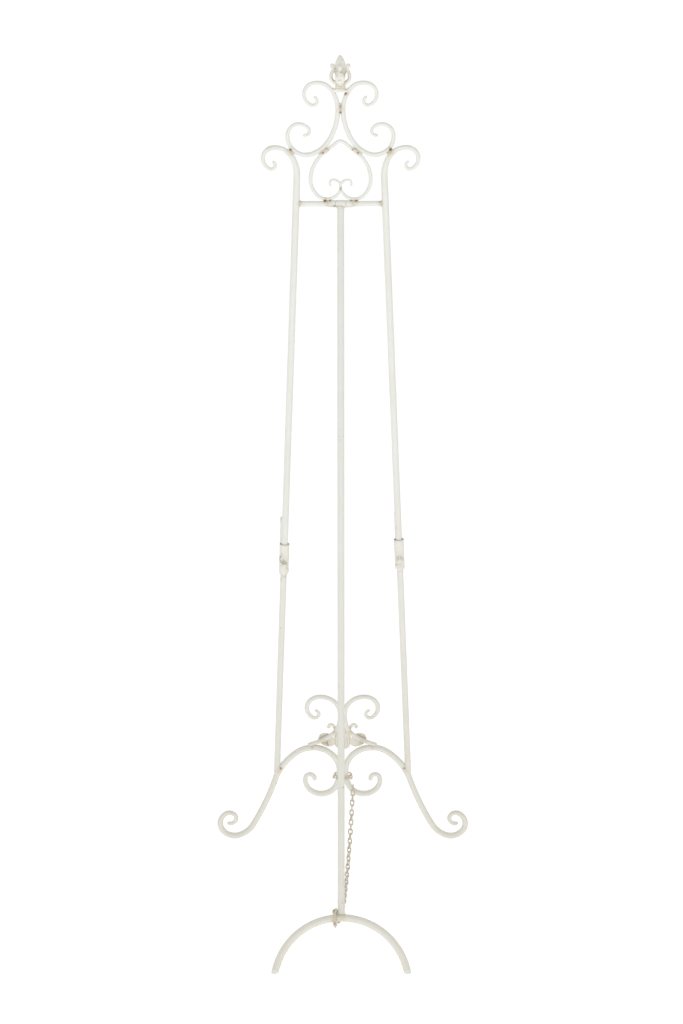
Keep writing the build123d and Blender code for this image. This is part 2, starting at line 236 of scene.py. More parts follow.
def chain_tree():
    """Oval links on a line's points, each turned a quarter from the one before, with a little play."""
    tree, given, result = new_tree(
        "link_chain", "GeometryNodeTree",
        [("Geometry", "NodeSocketGeometry", None), ("Wire", "NodeSocketFloat", 0.0024),
         ("Width", "NodeSocketFloat", 0.010), ("Length", "NodeSocketFloat", 0.0164),
         ("Cyclic", "NodeSocketBool", False), ("Play", "NodeSocketFloat", 0.25),
         ("Seed", "NodeSocketInt", 1), ("Material", "NodeSocketMaterial", None)],
        [("Geometry", "NodeSocketGeometry")])
    wire_r = math_node(tree, "MULTIPLY", given["Wire"], 0.5)
    bend_r = math_node(tree, "SUBTRACT", math_node(tree, "MULTIPLY", given["Width"], 0.5), wire_r)
    half = math_node(tree, "MULTIPLY", math_node(tree, "SUBTRACT", given["Length"], given["Width"]), 0.5)
    ring = add_node(tree, "GeometryNodeCurvePrimitiveCircle", {"Resolution": 18, "Radius": bend_r}).outputs[0]
    place = add_node(tree, "GeometryNodeInputPosition").outputs[0]
    x = add_node(tree, "ShaderNodeSeparateXYZ", {0: place}).outputs[0]
    stretch = math_node(tree, "MULTIPLY", math_node(tree, "SIGN", x), half)
    offset = add_node(tree, "ShaderNodeCombineXYZ", {0: stretch}).outputs[0]
    oval = add_node(tree, "GeometryNodeSetPosition", {"Geometry": ring, "Offset": offset}).outputs[0]
    section = add_node(tree, "GeometryNodeCurvePrimitiveCircle", {
        "Resolution": 8, "Radius": wire_r}).outputs[0]
    wire = add_node(tree, "GeometryNodeCurveToMesh", {"Curve": oval, "Profile Curve": section}).outputs[0]
    link = add_node(tree, "GeometryNodeSetShadeSmooth", {"Geometry": wire}).outputs[0]

    curve = add_node(tree, "GeometryNodeMeshToCurve", {"Mesh": given["Geometry"]}).outputs[0]
    closed = add_node(tree, "GeometryNodeSetSplineCyclic", {
        "Geometry": curve, "Cyclic": given["Cyclic"]}).outputs[0]
    tangent = add_node(tree, "GeometryNodeInputTangent").outputs[0]
    index = add_node(tree, "GeometryNodeInputIndex").outputs[0]
    odd = math_node(tree, "MODULO", index, 2.0)
    play = add_node(tree, "FunctionNodeRandomValue", {
        "Min": math_node(tree, "MULTIPLY", given["Play"], -1.0), "Max": given["Play"], "ID": index,
        "Seed": given["Seed"]}, data_type="FLOAT").outputs["Value"]
    quarter = math_node(tree, "MULTIPLY_ADD", odd, math.pi / 2, math.pi / 4)
    twist = add_node(tree, "FunctionNodeAxisAngleToRotation", {
        "Axis": (1.0, 0.0, 0.0), "Angle": math_node(tree, "ADD", quarter, play)}).outputs[0]
    aligned = add_node(tree, "FunctionNodeAlignRotationToVector", {"Vector": tangent}, axis="X").outputs[0]
    turned = add_node(tree, "FunctionNodeRotateRotation", {"Rotation": aligned, "Rotate By": twist},
                      rotation_space="LOCAL").outputs[0]
    links = add_node(tree, "GeometryNodeInstanceOnPoints", {
        "Points": closed, "Instance": link, "Rotation": turned}).outputs[0]
    real = add_node(tree, "GeometryNodeRealizeInstances", {"Geometry": links}).outputs[0]
    painted = add_node(tree, "GeometryNodeSetMaterial", {
        "Geometry": real, "Material": given["Material"]}).outputs[0]
    tree.links.new(painted, result["Geometry"])
    return tree


def weld_tree():
    """A weld bead: overlapping flattened drops along each short line."""
    tree, given, result = new_tree(
        "weld_bead", "GeometryNodeTree",
        [("Geometry", "NodeSocketGeometry", None), ("Drop", "NodeSocketFloat", 0.002),
         ("Spacing", "NodeSocketFloat", 0.0016), ("Seed", "NodeSocketInt", 3),
         ("Material", "NodeSocketMaterial", None)],
        [("Geometry", "NodeSocketGeometry")])
    curve = add_node(tree, "GeometryNodeMeshToCurve", {"Mesh": given["Geometry"]}).outputs[0]
    spaced = add_node(tree, "GeometryNodeCurveToPoints", {
        "Curve": curve, "Length": given["Spacing"]}, mode="LENGTH")
    drop = add_node(tree, "GeometryNodeMeshIcoSphere", {
        "Radius": given["Drop"], "Subdivisions": 3}).outputs[0]
    ball = add_node(tree, "GeometryNodeSetShadeSmooth", {"Geometry": drop}).outputs[0]
    index = add_node(tree, "GeometryNodeInputIndex").outputs[0]
    size = add_node(tree, "FunctionNodeRandomValue", {
        "Min": 0.72, "Max": 1.12, "ID": index, "Seed": given["Seed"]}, data_type="FLOAT").outputs["Value"]
    scale = add_node(tree, "ShaderNodeCombineXYZ", {0: math_node(tree, "MULTIPLY", size, 1.15), 1: size,
                                                    2: math_node(tree, "MULTIPLY", size, 0.62)}).outputs[0]
    beads = add_node(tree, "GeometryNodeInstanceOnPoints", {
        "Points": spaced.outputs["Points"], "Instance": ball, "Rotation": spaced.outputs["Rotation"],
        "Scale": scale}).outputs[0]
    real = add_node(tree, "GeometryNodeRealizeInstances", {"Geometry": beads}).outputs[0]
    painted = add_node(tree, "GeometryNodeSetMaterial", {
        "Geometry": real, "Material": given["Material"]}).outputs[0]
    tree.links.new(painted, result["Geometry"])
    return tree


# ---------------------------------------------------------------- materials

def srgb(red, green, blue):
    """An everyday 0 to 255 colour as the linear colour that a shader takes."""
    shares = (red / 255, green / 255, blue / 255)
    linear = [c / 12.92 if c <= 0.04045 else ((c + 0.055) / 1.055) ** 2.4 for c in shares]
    return (*linear, 1.0)


def brushed_coat_group():
    """Hand-brushed paint: slow shifts of tone, and the height of brush ridges and orange peel."""
    tree, given, result = new_tree(
        "brushed_coat", "ShaderNodeTree",
        [("Tone Scale", "NodeSocketFloat", 14.0), ("Ridge Scale", "NodeSocketFloat", 900.0)],
        [("Tone", "NodeSocketFloat"), ("Height", "NodeSocketFloat")])
    place = add_node(tree, "ShaderNodeTexCoord").outputs["Object"]
    tone = add_node(tree, "ShaderNodeTexNoise", {
        "Vector": place, "Scale": given["Tone Scale"], "Detail": 4.0})
    ridges = add_node(tree, "ShaderNodeTexNoise", {
        "Vector": place, "Scale": given["Ridge Scale"], "Detail": 2.0})
    lumps = add_node(tree, "ShaderNodeTexNoise", {
        "Vector": place, "Scale": math_node(tree, "MULTIPLY", given["Ridge Scale"], 0.22), "Detail": 3.0})
    height = math_node(tree, "MULTIPLY_ADD", ridges.outputs[0], 0.35, lumps.outputs[0])
    tree.links.new(map_range(tree, tone.outputs[0], 0.32, 0.68), result["Tone"])
    tree.links.new(height, result["Height"])
    return tree


def rust_group():
    """Where rust shows through: strong near the welds and creases, in broken specks elsewhere."""
    tree, given, result = new_tree(
        "rust_bloom", "ShaderNodeTree",
        [("Crease", "NodeSocketFloat", 0.0), ("Specks", "NodeSocketFloat", 0.1),
         ("Grain Scale", "NodeSocketFloat", 260.0)],
        [("Stain", "NodeSocketFloat"), ("Rust", "NodeSocketFloat"), ("Color", "NodeSocketColor")])
    place = add_node(tree, "ShaderNodeTexCoord").outputs["Object"]
    grain = add_node(tree, "ShaderNodeTexNoise", {
        "Vector": place, "Scale": given["Grain Scale"], "Detail": 6.0, "Roughness": 0.65}).outputs[0]
    patch_scale = math_node(tree, "MULTIPLY", given["Grain Scale"], 0.2)
    patches = add_node(tree, "ShaderNodeTexNoise", {
        "Vector": place, "Scale": patch_scale, "Detail": 5.0}).outputs[0]
    broken = math_node(tree, "MULTIPLY_ADD", grain, 0.6, math_node(tree, "MULTIPLY", patches, 0.6))
    near = math_node(tree, "MULTIPLY_ADD", given["Crease"], 0.62, math_node(tree, "MULTIPLY", broken, 0.7))
    stain = map_range(tree, math_node(tree, "MULTIPLY", given["Crease"], broken), 0.10, 0.55, smooth=True)
    eaten = map_range(tree, near, 0.86, 0.97, smooth=True)
    threshold = math_node(tree, "SUBTRACT", 0.86, math_node(tree, "MULTIPLY", given["Specks"], 0.3))
    specks = map_range(tree, broken, math_node(tree, "MULTIPLY", threshold, 0.9), threshold)
    rust = math_node(tree, "MAXIMUM", eaten, math_node(tree, "MULTIPLY", specks, 0.7))
    colors = add_node(tree, "ShaderNodeMix", {
        "Factor": grain, 6: srgb(98, 76, 52), 7: srgb(166, 140, 104)}, data_type="RGBA").outputs[2]
    tree.links.new(stain, result["Stain"])
    tree.links.new(rust, result["Rust"])
    tree.links.new(colors, result["Color"])
    return tree


def painted_iron(name, pale, warm, rough=0.5, specks=0.1, relief=0.00012, always=0.0):
    """Brushed cream paint over iron: pale on top, warmer low down, stained and rusted in the creases."""
    material = bpy.data.materials.new(name)
    material.use_nodes = True
    tree = material.node_tree
    tree.nodes.clear()
    coat = add_node(tree, "ShaderNodeGroup", {}, node_tree=GROUPS["coat"]).outputs
    crease = add_node(tree, "ShaderNodeAttribute", attribute_name="crease").outputs["Fac"]
    lowness = add_node(tree, "ShaderNodeAttribute", attribute_name="lowness").outputs["Fac"]
    bloom = add_node(tree, "ShaderNodeGroup", node_tree=GROUPS["rust"])
    tree.links.new(math_node(tree, "MAXIMUM", crease, always), bloom.inputs["Crease"])
    bloom.inputs["Specks"].default_value = specks
    # the paint turns warmer and a little darker towards the floor by the per-vertex height value, plus random
    # tone
    warmth = math_node(tree, "MULTIPLY_ADD", lowness, 0.75, math_node(tree, "MULTIPLY", coat["Tone"], 0.3))
    warmth = math_node(tree, "MINIMUM", warmth, 1.0)
    paint = add_node(tree, "ShaderNodeMix", {"Factor": warmth, 6: pale, 7: warm}, data_type="RGBA").outputs[2]
    stain = math_node(tree, "MULTIPLY", bloom.outputs["Stain"], 0.72)
    stained = add_node(tree, "ShaderNodeMix", {
        "Factor": stain, 6: paint, 7: srgb(188, 170, 138)}, data_type="RGBA").outputs[2]
    color = add_node(tree, "ShaderNodeMix", {
        "Factor": bloom.outputs["Rust"], 6: stained, 7: bloom.outputs["Color"]}, data_type="RGBA").outputs[2]
    roughness = math_node(tree, "MULTIPLY_ADD", bloom.outputs["Rust"], 0.35,
                          math_node(tree, "MULTIPLY_ADD", coat["Tone"], 0.12, rough))
    height = math_node(tree, "MULTIPLY_ADD", bloom.outputs["Rust"], -0.8, coat["Height"])
    bump = add_node(tree, "ShaderNodeBump", {
        "Height": height, "Strength": 0.6, "Distance": relief}).outputs[0]
    shader = add_node(tree, "ShaderNodeBsdfPrincipled", {
        "Base Color": color, "Roughness": math_node(tree, "MINIMUM", roughness, 1.0), "Normal": bump})
    output = tree.nodes.new("ShaderNodeOutputMaterial")
    tree.links.new(shader.outputs[0], output.inputs["Surface"])
    return material


GROUPS = {"coat": brushed_coat_group(), "rust": rust_group()}
CREAM = painted_iron("cream_paint_on_iron", srgb(229, 230, 224), srgb(222, 219, 207))
AGED = painted_iron("aged_cream_casting", srgb(232, 231, 222), srgb(224, 218, 203), 0.5, 0.38, 0.0003, 0.12)
WELD = painted_iron("painted_weld", srgb(224, 221, 210), srgb(208, 200, 180), 0.5, 0.2, 0.0002, 0.12)
CHAIN = painted_iron("rusty_painted_chain", srgb(220, 214, 199), srgb(210, 200, 180), 0.7, 0.36, 0.0002, 0.10)


# ---------------------------------------------------------------- wear in creases, and height above the floor, per vertex

FRAME_NORMAL = Vector((0, math.cos(LEAN), -math.sin(LEAN)))


def frame_spot(across, up, reach, strength=1.0):
    """A spot that runs right through the frame's plane from front to back."""
    return in_mm(IN_FRAME, (across, up)), reach * MM, strength, FRAME_NORMAL


def round_spot(place, reach, strength):
    return place, reach * MM, strength, Vector((0, 0, 0))


def crease_spots():
    """Where rust gathers, as (place, reach, strength, direction it runs through): rust inside stains."""
    spots = [frame_spot(0, 1541, 7), frame_spot(0, 1530, 6), frame_spot(0, 1535, 17, 0.55),
             frame_spot(-9, 1564, 9, 1.1), frame_spot(0, 1393, 5), frame_spot(0, 1393, 12, 0.5),
             frame_spot(0, 300, 10), frame_spot(0, 160, 14, 0.7), frame_spot(-10, 1357, 7, 1.1),
             frame_spot(10, 1362, 6), frame_spot(-46, 1497, 14, 0.5), frame_spot(128, 1473, 30, 0.5)]
    for side in SIDES.values():
        spots += [frame_spot(side * 31, 1458, 7, 1.05), frame_spot(side * 22, 1464, 5),
                  frame_spot(side * 27, 1460, 22, 0.6),
                  frame_spot(side * 89, 1464, 7, 1.1), frame_spot(side * 90, 1459, 20, 0.6),
                  frame_spot(side * 28, 1371, 7, 1.05), frame_spot(side * 19, 1371, 6),
                  frame_spot(side * 24, 1368, 19, 0.6), frame_spot(side * 25, 1362, 6),
                  frame_spot(side * 72, 1369, 4), frame_spot(side * 72, 1366, 12, 0.6),
                  frame_spot(side * 128, 176, 7, 1.05), frame_spot(side * 132, 170, 20, 0.5),
                  frame_spot(side * 62, 225, 4), frame_spot(side * 62, 228, 16, 0.45),
                  frame_spot(side * 40, 236, 20, 0.7), frame_spot(side * 16, 262, 12, 0.7)]
    for name in SIDES:
        clamp = clamp_matrix(name)
        spots += [round_spot(clamp @ Vector((0, y, z)), reach, strength) for y, z, reach, strength in (
            (0, -0.034, 14, 0.6), (0.011, -0.008, 12, 0.8), (-0.010, -0.014, 12, 0.8))]
        spots += [round_spot(clamp @ Vector((x, 0, 0.033)), 7, 1.1) for x in (-0.0085, 0.0085)]
    spots += [round_spot(in_mm(IN_FRAME, (side, FINIAL_BASE + height, -6)), 12, 0.8)
              for side, height in ((0, 5), (0, 13), (-8, 30), (8, 34), (0, 40))]
    spots.append(round_spot(in_mm(IN_LEG, (0, 97)), 18, 0.7))
    spots.append(round_spot(in_mm(IN_LEG, (0, HINGE_UP_LEG - 9)), 12, 0.7))
    return spots


SPOTS = crease_spots()
RUN_THROUGH = 0.95  # how much of the distance along a spot's direction is left out
LOWNESS_TOP = 0.75     # metres above the floor where the paint stops getting warmer


def wear_and_height(piece):
    """Stores how close each vertex is to a crease, and how low it is, for the paint to read."""
    mesh = piece.data
    places = np.empty(len(mesh.vertices) * 3, np.float32)
    mesh.vertices.foreach_get("co", places)
    places = places.reshape(-1, 3)
    crease = np.zeros(len(places))
    for centre, reach, strength, through in SPOTS:
        away = places - np.array(centre)
        away -= RUN_THROUGH * np.outer(away @ np.array(through), np.array(through))
        distance = np.linalg.norm(away, axis=1)
        crease = np.maximum(crease, strength * np.clip(1 - distance / reach, 0, 1))
    # 1 at the floor, falling to 0 at 0.75 m up: how far the paint moves to its warmer, darker colour low down
    lowness = np.clip(1 - places[:, 2] / LOWNESS_TOP, 0, 1)
    for attribute_name, values in (("crease", crease), ("lowness", lowness)):
        attribute = mesh.attributes.new(attribute_name, "FLOAT", "POINT")
        attribute.data.foreach_set("value", values.astype(np.float32))
    return piece


def finish_piece(piece, body, slot, *nodes):
    """The last step for a rigid piece: wear and height marks, body, and the frame nodes it stands for; slot
    is not used.
    """
    wear_and_height(piece)
    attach(piece, body)
    if nodes:
        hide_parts(*nodes)
    return piece


# ---------------------------------------------------------------- lines and bars

def bent_line(start, heading, *runs, step=2.0):
    """Points along tangent runs: (radius, turn in degrees) for a bend, (None, length) for a straight."""
    x, y = start
    angle = math.radians(heading)
    points = [(x, y)]
    for radius, amount in runs:
        length = amount if radius is None else radius * math.radians(abs(amount))
        count = max(2, math.ceil(length / step))
        curl = 0.0 if radius is None else math.copysign(1 / radius, amount)
        for number in range(1, count + 1):
            s = length * number / count
            if curl:
                points.append((x + (math.sin(angle + curl * s) - math.sin(angle)) / curl,
                               y - (math.cos(angle + curl * s) - math.cos(angle)) / curl))
            else:
                points.append((x + s * math.cos(angle), y + s * math.sin(angle)))
        x, y = points[-1]
        angle += curl * length
    return points


def hooked(line, radius=4.5, turn=60):
    """The line with its last end curled on by a small arc, the way it was already turning."""
    (x0, y0), (x1, y1), (x2, y2) = line[-3:]
    turning = (x1 - x0) * (y2 - y1) - (y1 - y0) * (x2 - x1)
    heading = math.degrees(math.atan2(y2 - y1, x2 - x1))
    return line + bent_line(line[-1], heading, (radius, math.copysign(turn, turning)), step=0.8)[1:]


def on_side(points, side):
    return [(side * x, y, *rest) for x, y, *rest in points]


FORGED_BAR = forged_bar_tree()
LINK_CHAIN = chain_tree()
WELD_BEAD = weld_tree()


def forged_bar(name, line, matrix, radius, tips=None, rounded=(1.0, 1.0), taper=0.42, depth=0.25, sides=20,
               material=CREAM):
    """A hammered round bar along a line given in millimetres on a plane."""
    tips = tips or (radius, radius)
    points = [in_mm(matrix, point) for point in line]
    edges = [(number, number + 1) for number in range(len(points) - 1)]
    return run_tree(name, FORGED_BAR, points, edges, {
        "Radius": radius * MM, "Start Radius": tips[0] * MM, "End Radius": tips[1] * MM, "Taper": taper,
        "Round Start": rounded[0], "Round End": rounded[1], "Hammer Depth": depth * MM, "Sides": sides,
        "Material": material})


def straight_line(start, end, step=6.0):
    count = max(2, math.ceil(math.dist(start, end) / step))
    return [tuple(a + (b - a) * number / count for a, b in zip(start, end)) for number in range(count + 1)]


def crest_line():
    line = bent_line((43.4, 1554.5), -134, (7.5, 155), (20, 141), (31, 73), (60, 36),
                     (102, 33), (57, 37), (33, 115), (21, 136), (7.5, 123))
    return hooked(hooked(line)[::-1])[::-1]


def heart_line():
    half_runs = [(10, -38), (None, 29), (66, -44), (42, -48), (25.5, -124), (13, -108), (6.5, -108)]
    half = hooked(bent_line((0, 1478.3), 0, *half_runs), 3.5, 50)
    return on_side(half, -1)[::-1] + half[1:]


def shoulder_line():
    return hooked(bent_line(ROD_HEAD, ROD_HEADING, (None, 14), (72, -25), (36, -75), (20, -150), (7, -150)))


def lower_scroll_line():
    line = bent_line((53, 309.6), -156, (8.5, 190), (26, 136), (39.5, 97), (110, 13), (48, 48),
                     (160, 15), (None, 5))
    return hooked(line[::-1], 4.2, 55)[::-1]


def foot_scroll_line():
    line = bent_line((58.5, 145.5), 102, (9.5, -181), (33.5, -164), (77, -38), (54.5, -116),
                     (132, -35), (650, 10.9), (57, 38), (30, 168), (13.5, 200))
    drop = (FOOT_SCROLL_R + 0.55) / math.cos(LEAN) - min(y for x, y in line)
    standing = [(x, y + drop) for x, y in line]
    return hooked(hooked(standing, 6, 85)[::-1], 5, 40)[::-1]


def build_bars():
    for name, side in SIDES.items():
        scrolls = {
            "crest_scroll": (crest_line(), 4.4, (3.0, 3.0), (1, 1), 0.4),
            "lower_scroll": (lower_scroll_line(), 4.9, (3.4, 4.4), (1, 0.4), 0.25),
            "foot_scroll": (foot_scroll_line(), 6.3, (4.4, 4.2), (1, 1), 0.16),
            "shoulder_scroll": (shoulder_line(), 4.4, (6.35, 3.0), (0, 1), 0.5),
        }
        for kind, (line, radius, tips, rounded, taper) in scrolls.items():
            node = f"{name}_{kind}"
            bar = forged_bar(f"{node}_bar", on_side(line, side), IN_FRAME, radius, tips, rounded, taper, 0.4)
            finish_piece(bar, "frame", "cream_paint", node)
        rod = on_side([(142.5, 147.5), (140, 152.5)] + straight_line(ROD_FOOT, ROD_HEAD), side)
        bar = forged_bar(f"{name}_side_rod_bar", rod, IN_FRAME, ROD_R, (5.0, ROD_R), (1, 0), 0.02, 0.18, 28)
        finish_piece(bar, "frame", "cream_paint", f"{name}_side_rod")
    heart = forged_bar("heart_scroll_bar", heart_line(), IN_FRAME, HEART_R, (2.3, 2.3), taper=0.3, depth=0.4)
    finish_piece(heart, "frame", "cream_paint", "heart_scroll")
    half = ROD_HEAD[0] + (ROD_HEAD[1] - HINGE_UP_FRAME) / math.tan(math.radians(180 - ROD_HEADING)) - 4
    line = straight_line((-half, HINGE_UP_FRAME), (half, HINGE_UP_FRAME))
    crossbar = forged_bar("crossbar_bar", line, IN_FRAME, CROSSBAR_R, rounded=(0, 0), depth=0.0, sides=24)
    finish_piece(crossbar, "frame", "cream_paint", "crossbar")

    arch_centre = -math.sqrt(ARCH_R**2 - ARCH_HALF_SPREAD**2)
    leg_line = straight_line((0, arch_centre + ARCH_R), (0, HINGE_UP_LEG - BARREL_R * 0.6))
    leg = forged_bar("leg_tube_bar", leg_line, IN_LEG, ROD_R, rounded=(0, 0), depth=0.18, sides=28)
    finish_piece(leg, "rear_leg", "cream_paint", "leg_tube")
    reach = math.degrees(math.asin((-arch_centre + 4.8) / ARCH_R))
    arch_line = [(ARCH_R * math.cos(math.radians(a)), arch_centre + ARCH_R * math.sin(math.radians(a)))
                 for a in np.linspace(reach, 180 - reach, 90)]
    arch = forged_bar("rear_foot_arch_bar", arch_line, IN_LEG, ROD_R + 0.3, rounded=(0, 0), depth=0.35,
                      sides=28)
    finish_piece(arch, "rear_leg", "cream_paint", "rear_foot_arch")


# ---------------------------------------------------------------- turned, cast and cut pieces

def mesh_piece(name, build, matrix, material, sharp=40.0):
    """A closed mesh from a bmesh-building function in millimetres, placed on a plane."""
    work = bmesh.new()
    build(work)
    bmesh.ops.remove_doubles(work, verts=work.verts, dist=0.002)
    bmesh.ops.recalc_face_normals(work, faces=work.faces)
    bmesh.ops.transform(work, matrix=matrix @ Matrix.Scale(MM, 4), verts=work.verts)
    mesh = bpy.data.meshes.new(name)
    work.to_mesh(mesh)
    work.free()
    mesh.materials.append(material)
    for polygon in mesh.polygons:
        polygon.use_smooth = True
    mesh.set_sharp_from_angle(angle=math.radians(sharp))
    made = bpy.data.objects.new(name, mesh)
    bpy.context.scene.collection.objects.link(made)
    return made


def turned(work, profile, matrix=Matrix(), sides=40, closed=False, shape=None):
    """A profile of (radius, height) turned about Z. shape(angle, height) scales the radius."""
    rings = []
    for radius, height in profile:
        ring = []
        for number in range(sides):
            angle = 2 * math.pi * number / sides
            r = radius * (shape(angle, height) if shape else 1.0)
            ring.append(work.verts.new(matrix @ Vector((r * math.cos(angle), r * math.sin(angle), height))))
        rings.append(ring)
    pairs = list(zip(rings, rings[1:])) + ([(rings[-1], rings[0])] if closed else [])
    for lower, upper in pairs:
        for number in range(sides):
            following = (number + 1) % sides
            work.faces.new((lower[number], lower[following], upper[following], upper[number]))
    if not closed:
        work.faces.new(rings[0][::-1])
        work.faces.new(rings[-1])


def rounded_rim(radius, height, bevel, steps=4, top=True):
    """A quarter-round edge for a profile, from the wall in to the end face, or out from it."""
    sign = 1 if top else -1
    arc = [(radius - bevel + bevel * math.cos(a), height + sign * (bevel * math.sin(a) - bevel))
           for a in np.linspace(0, math.pi / 2, steps)]
    return arc if top else arc[::-1]


def ball_profile(radius, steps):
    """A ball's profile for turned(), with a small flat at each pole."""
    arc = [(radius * math.cos(a), radius * math.sin(a)) for a in np.linspace(-1.4, 1.4, steps)]
    return [(0.3, -radius)] + arc + [(0.3, radius)]


def swept(work, path, section, ring_matrix):
    """A closed section carried along a path: ring_matrix(number) places each copy."""
    last = len(path) - 1
    rings = [[work.verts.new(ring_matrix(number) @ Vector((*point, 0))) for point in section(number / last)]
             for number in range(len(path))]
    for lower, upper in zip(rings, rings[1:]):
        for number in range(len(lower)):
            following = (number + 1) % len(lower)
            work.faces.new((lower[number], lower[following], upper[following], upper[number]))
    work.faces.new(rings[0][::-1])
    work.faces.new(rings[-1])


def planar_rings(points):
    """Matrices that stand a section across a path in XY: its X along +Z, its Y across the path."""
    matrices = []
    for number, point in enumerate(points):
        before, after = points[max(number - 1, 0)], points[min(number + 1, len(points) - 1)]
        tangent = Vector((after[0] - before[0], after[1] - before[1], 0)).normalized()
        normal = Vector((-tangent.y, tangent.x, 0))
        matrix = Matrix((Vector((0, 0, 1)), normal, Vector((0, 0, 1)).cross(normal))).transposed().to_4x4()
        matrix.translation = (point[0], point[1], 0)
        matrices.append(matrix)
    return matrices


def rounded_rectangle(width, height, radius, steps=4):
    corners = []
    for turn, (cx, cy) in enumerate(((1, 1), (-1, 1), (-1, -1), (1, -1))):
        for number in range(steps + 1):
            angle = math.radians(90 * turn + 90 * number / steps)
            corners.append((cx * (width / 2 - radius) + radius * math.cos(angle),
                            cy * (height / 2 - radius) + radius * math.sin(angle)))
    return corners


def ellipse_section(width, height, sides=16):
    return [(width / 2 * math.cos(a), height / 2 * math.sin(a))
            for a in np.linspace(0, 2 * math.pi, sides, endpoint=False)]


def lens(work, matrix, length, width, thickness, point=1.4, rib=0.0, rows=18, columns=14):
    """A leaf: pointed at its far end (+Y), crowned on both faces, with an optional middle rib."""
    def place(s, t, face):
        half_width = width / 2 * math.sin(math.pi * min(s * 0.98 + 0.02, 1.0) ** (1 / point)) ** 0.8
        crown = thickness / 2 * math.sqrt(max(0.0, 1 - t * t)) * (0.35 + 0.65 * math.sin(math.pi * s) ** 0.5)
        crown *= 1 + rib * (math.exp(-((t / 0.16) ** 2)) - 0.5 * math.exp(-(((abs(t) - 0.45) / 0.2) ** 2)))
        return matrix @ Vector((half_width * t, length * s, face * crown))

    grids = []
    for face in (1, -1):
        grids.append([[work.verts.new(place(row / rows, 2 * column / columns - 1, face))
                       for column in range(columns + 1)] for row in range(rows + 1)])
    for face, grid in enumerate(grids):
        for row in range(rows):
            for column in range(columns):
                corners = (grid[row][column], grid[row][column + 1],
                           grid[row + 1][column + 1], grid[row + 1][column])
                work.faces.new(corners if face == 0 else corners[::-1])
    top, bottom = grids
    for end, sign in ((0, 1), (rows, -1)):
        for column in range(columns):
            corners = (top[end][column], bottom[end][column], bottom[end][column + 1], top[end][column + 1])
            work.faces.new(corners if sign > 0 else corners[::-1])


def relief(work, front, matrix, rows, columns, cup=0.0):
    """A cast shape: front(s, t) gives x, y and half the thickness, and cup dishes it forward."""
    grids = []
    for face in (1, -1):
        grid = []
        for row in range(rows + 1):
            points = (front(row / rows, 2 * column / columns - 1) for column in range(columns + 1))
            grid.append([work.verts.new(matrix @ Vector((x, y, face * half + cup * (
                (1 - (2 * column / columns - 1) ** 2) * math.sin(math.pi * row / rows) - 0.5))))
                for column, (x, y, half) in enumerate(points)])
        grids.append(grid)
    for face, grid in enumerate(grids):
        for row in range(rows):
            for column in range(columns):
                corners = (grid[row][column], grid[row][column + 1],
                           grid[row + 1][column + 1], grid[row + 1][column])
                work.faces.new(corners if face == 0 else corners[::-1])
    top, bottom = grids
    edge = [(0, column) for column in range(columns)] + [(row, columns) for row in range(rows)]
    edge += [(rows, column) for column in range(columns, 0, -1)] + [(row, 0) for row in range(rows, 0, -1)]
    for (row, column), (next_row, next_column) in zip(edge, edge[1:] + edge[:1]):
        work.faces.new((top[row][column], bottom[row][column], bottom[next_row][next_column],
                        top[next_row][next_column]))


def build_hinge():
    across = Matrix.Rotation(math.pi / 2, 4, "Y")
    on_frame = IN_FRAME @ Matrix.Translation((0, HINGE_UP_FRAME * MM, 0)) @ across
    on_leg = IN_LEG @ Matrix.Translation((0, HINGE_UP_LEG * MM, 0)) @ across

    def ring(outer, inner, length, middle):
        half = length / 2
        def build(work):
            profile = [(inner, middle - half + 0.4), (inner + 0.4, middle - half)]
            profile += rounded_rim(outer, middle - half, 0.9, top=False)
            profile += rounded_rim(outer, middle + half, 0.9)
            profile += [(inner + 0.4, middle + half), (inner, middle + half - 0.4)]
            turned(work, profile, closed=True)
        return build

    barrel_ring = ring(BARREL_R, CROSSBAR_R + 0.08, BARREL_LENGTH, 0)
    barrel = mesh_piece("hinge_barrel_ring", barrel_ring, on_leg, CREAM)
    finish_piece(barrel, "rear_leg", "cream_paint", "hinge_barrel")
    for name, side in SIDES.items():
        middle = side * (BARREL_LENGTH / 2 + 0.5 + COLLAR_LENGTH / 2)
        collar_ring = ring(COLLAR_R, CROSSBAR_R + 0.02, COLLAR_LENGTH, middle)
        collar = mesh_piece(f"{name}_hinge_collar_ring", collar_ring, on_frame, CREAM)
        finish_piece(collar, "frame", "cream_paint", f"{name}_hinge_collar")


